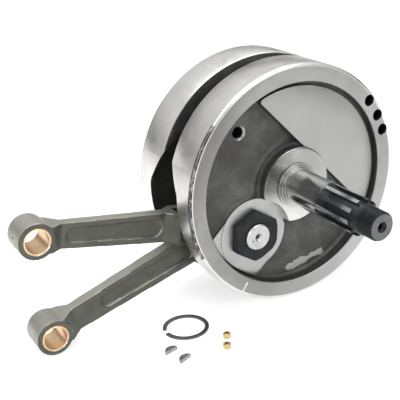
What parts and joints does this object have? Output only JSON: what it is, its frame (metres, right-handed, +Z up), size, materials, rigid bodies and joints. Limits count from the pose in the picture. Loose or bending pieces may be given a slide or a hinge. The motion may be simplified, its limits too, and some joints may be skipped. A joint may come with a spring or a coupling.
{
  "type": "crankshaft",
  "caption": "Built-up V-twin crankshaft: paired flywheels on a tapered crankpin, forked and blade rods on caged rollers, splined drive shaft.",
  "frame": {"origin": "on the shaft axis, at the middle of the drive side's main bearing seat", "axes": "shaft axis along Y with the drive shaft towards -Y, the rods lie towards -X, +Z up"},
  "size_m": [0.3508, 0.28, 0.216],
  "materials": {
    "flywheel_iron": "cast iron, rim and faces turned bright, pockets left dark as cast",
    "shaft_steel": "hardened steel, bearing seat ground, splines and thread left dark",
    "pin_steel": "ground hardened steel",
    "black_nut": "steel nut, black oxide",
    "key_steel": "ground key steel",
    "bearing_steel": "ground bearing steel",
    "cage_steel": "pressed steel",
    "ring_steel": "spring steel, dark",
    "rod_forging": "forged steel, satin, dark grey-green",
    "bush_bronze": "bearing bronze, reamed bore",
    "brass": "turned brass"
  },
  "bodies": {
    "crank": {"drive_flywheel": "flywheel_iron", "pinion_flywheel": "flywheel_iron", "drive_shaft": "shaft_steel", "drive_shaft_nut": "black_nut", "drive_shaft_key": "key_steel", "pinion_shaft": "shaft_steel", "pinion_shaft_nut": "black_nut", "pinion_shaft_key": "key_steel", "crankpin": "pin_steel", "crankpin_nut_drive": "black_nut", "crankpin_nut_pinion": "black_nut", "crankpin_key": "key_steel", "crankpin_oil_plug": "brass", "thrust_washer_drive": "bearing_steel", "thrust_washer_pinion": "bearing_steel"},
    "blade": {"blade_rod": "rod_forging", "blade_rod_bush": "bush_bronze", "blade_race": "bearing_steel"},
    "forked": {"forked_rod": "rod_forging", "forked_rod_bush": "bush_bronze", "forked_race_drive": "bearing_steel", "forked_race_pinion": "bearing_steel"},
    "cage_middle": {"roller_cage_middle": "cage_steel", "rollers_middle": "bearing_steel"},
    "cage_drive": {"roller_cage_drive": "cage_steel", "rollers_drive": "bearing_steel"},
    "cage_pinion": {"roller_cage_pinion": "cage_steel", "rollers_pinion": "bearing_steel"},
    "ring": {"retaining_ring": "ring_steel"},
    "key_front": {"half_moon_key_front": "key_steel"},
    "key_rear": {"half_moon_key_rear": "key_steel"},
    "plug_front": {"brass_plug_front": "brass"},
    "plug_rear": {"brass_plug_rear": "brass"}
  },
  "joints": [
    {"name": "blade_rod_swing", "type": "hinge", "parent": "crank", "child": "blade", "pos_m": [-0.0418, 0.0717, -0.03898], "axis": [0, 1, 0], "continuous": true},
    {"name": "forked_rod_swing", "type": "hinge", "parent": "blade", "child": "forked", "pos_m": [-0.0418, 0.0717, -0.03898], "axis": [0, 1, 0], "range_deg": [-1, 305]},
    {"name": "cage_middle_turn", "type": "hinge", "parent": "crank", "child": "cage_middle", "pos_m": [-0.0418, 0.0717, -0.03898], "axis": [0, 1, 0], "continuous": true},
    {"name": "cage_drive_turn", "type": "hinge", "parent": "cage_middle", "child": "cage_drive", "pos_m": [-0.0418, 0.0717, -0.03898], "axis": [0, 1, 0], "range_deg": [-1, 175]},
    {"name": "cage_pinion_turn", "type": "hinge", "parent": "cage_middle", "child": "cage_pinion", "pos_m": [-0.0418, 0.0717, -0.03898], "axis": [0, 1, 0], "range_deg": [-1, 175]},
    {"name": "retaining_ring_lift", "type": "slide", "parent": "crank", "child": "ring", "axis": [0, 0, 1], "range_m": [0, 0.03]},
    {"name": "half_moon_key_front_lift", "type": "slide", "parent": "crank", "child": "key_front", "axis": [0, 0, 1], "range_m": [0, 0.03]},
    {"name": "half_moon_key_rear_lift", "type": "slide", "parent": "crank", "child": "key_rear", "axis": [0, 0, 1], "range_m": [0, 0.03]},
    {"name": "brass_plug_front_lift", "type": "slide", "parent": "crank", "child": "plug_front", "axis": [0, 0, 1], "range_m": [0, 0.03]},
    {"name": "brass_plug_rear_lift", "type": "slide", "parent": "crank", "child": "plug_rear", "axis": [0, 0, 1], "range_m": [0, 0.03]}
  ],
  "couplings": [
    {"joint": "cage_middle_turn", "follows": "blade_rod_swing", "ratio": 0.5654},
    {"joint": "cage_drive_turn", "follows": "forked_rod_swing", "ratio": 0.5654},
    {"joint": "cage_pinion_turn", "follows": "forked_rod_swing", "ratio": 0.5654}
  ]
}
